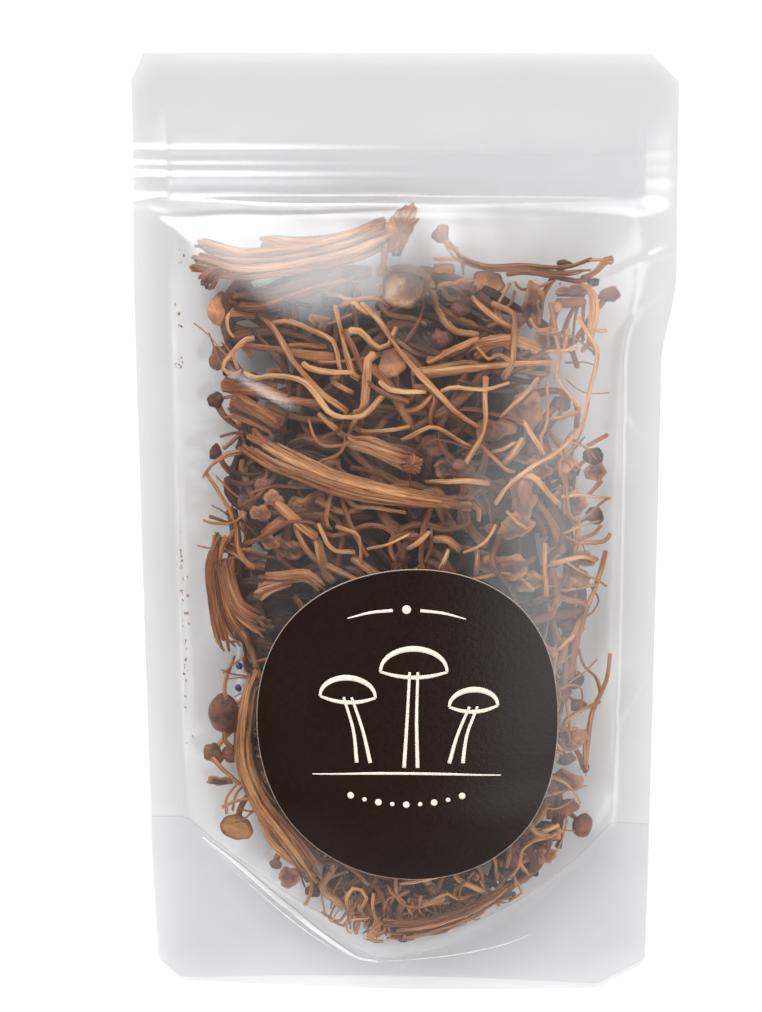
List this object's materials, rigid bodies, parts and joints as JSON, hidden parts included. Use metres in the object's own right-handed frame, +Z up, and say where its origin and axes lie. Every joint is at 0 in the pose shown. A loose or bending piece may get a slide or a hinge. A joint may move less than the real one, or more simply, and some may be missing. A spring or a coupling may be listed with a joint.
{
  "type": "pouch of dried enoki mushrooms",
  "caption": "Clear flat-lying stand-up pouch with zip, side seals, rounded bottom gusset and round label, filled with a tangle of dried enoki mushrooms.",
  "frame": {"origin": "on the surface under the middle of the pouch as it lies on its back", "axes": "+X to the pouch's right, +Y towards its mouth, +Z up from the surface out of its front"},
  "size_m": [0.1199, 0.215, 0.0265],
  "materials": {
    "film": "clear glossy film",
    "zip": "clear glossy",
    "label": "satin paper",
    "sachet": "matt nonwoven",
    "stems": "dry fibrous",
    "bundles": "dry fibrous",
    "caps": "dry wrinkled"
  },
  "bodies": {
    "root": {"film_front": "film", "film_back": "film", "film_gusset": "film", "zip_rib_strip": "zip", "zip_groove_strip": "zip", "label": "label", "desiccant_sachet": "sachet", "bundle_top_left": "bundles", "bundle_top_right": "bundles", "bundle_centre": "bundles", "bundle_left_fan": "bundles", "bundle_fork": "bundles", "bundle_lower_left": "bundles", "bundle_bottom": "bundles", "cap_curled": "caps", "tangle": "stems"}
  },
  "joints": []
}
